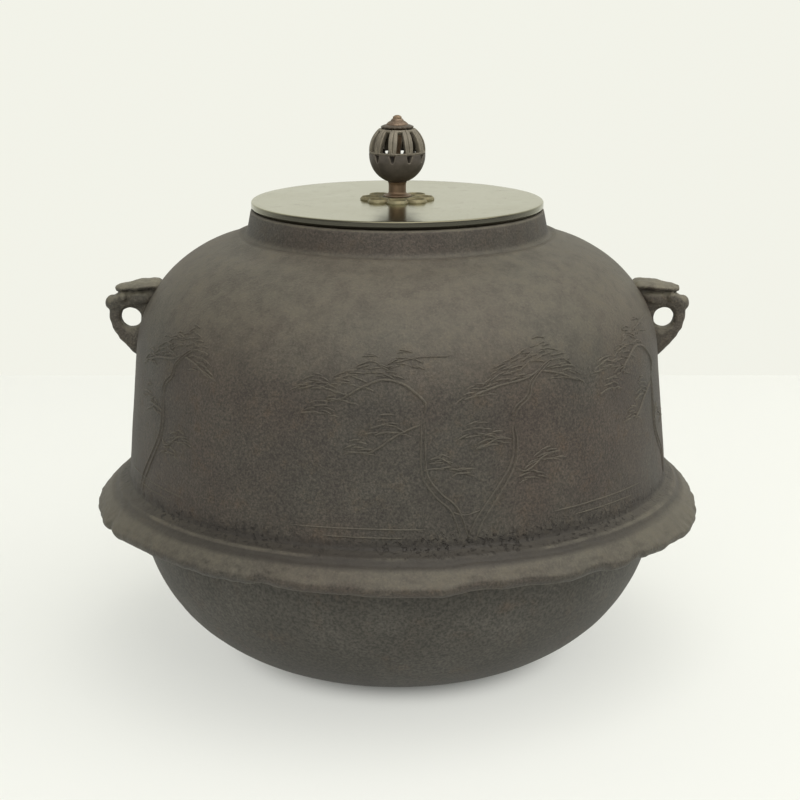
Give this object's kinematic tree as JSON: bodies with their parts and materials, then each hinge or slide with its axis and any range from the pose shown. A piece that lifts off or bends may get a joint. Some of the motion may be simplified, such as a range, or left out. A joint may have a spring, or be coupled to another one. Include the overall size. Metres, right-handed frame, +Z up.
{
  "type": "cast iron tea kettle",
  "caption": "Round cast iron tea-ceremony kettle with a ragged skirt, mask-style ring lugs, low-relief pines, and a flat lift-off bronze lid with an openwork ball knob.",
  "frame": {"origin": "middle of the flat base, on the surface that the kettle stands on", "axes": "+Z up along the kettle's axis, X through the two ring lugs, and -Y towards the decorated front"},
  "size_m": [0.266, 0.2661, 0.2378],
  "materials": {
    "cast_iron": "sandy cast iron with a dark brown-grey patina",
    "pan_iron": "rough cast iron, dulled by fire",
    "joint_lacquer": "black lacquer putty with iron filings",
    "plate_iron": "thin iron with a rust bloom",
    "lid_bronze": "bronze with a smooth dark olive patina",
    "knob_bronze": "dark grey-black patinated bronze",
    "stem_copper": "brown patinated copper"
  },
  "bodies": {
    "kettle": {"kettle_body": "cast_iron", "bottom_pan": "pan_iron", "pan_joint_lacquer": "joint_lacquer", "left_lug": "cast_iron", "right_lug": "cast_iron", "sounding_plate_1": "plate_iron", "sounding_plate_2": "plate_iron", "sounding_plate_3": "plate_iron", "plate_lacquer": "joint_lacquer"},
    "lid": {"lid": "lid_bronze", "knob_rosette": "stem_copper"},
    "knob": {"knob_stem": "stem_copper", "stem_washer": "stem_copper", "knob_ball_lower": "knob_bronze", "knob_ball_upper": "knob_bronze", "knob_cap": "stem_copper"}
  },
  "joints": [
    {"name": "lid_lift", "type": "slide", "parent": "kettle", "child": "lid", "axis": [0, 0, 1], "range_m": [0, 0.15]},
    {"name": "knob_turn", "type": "hinge", "parent": "lid", "child": "knob", "pos_m": [0, 0, 0.2016], "axis": [0, 0, 1], "continuous": true}
  ]
}
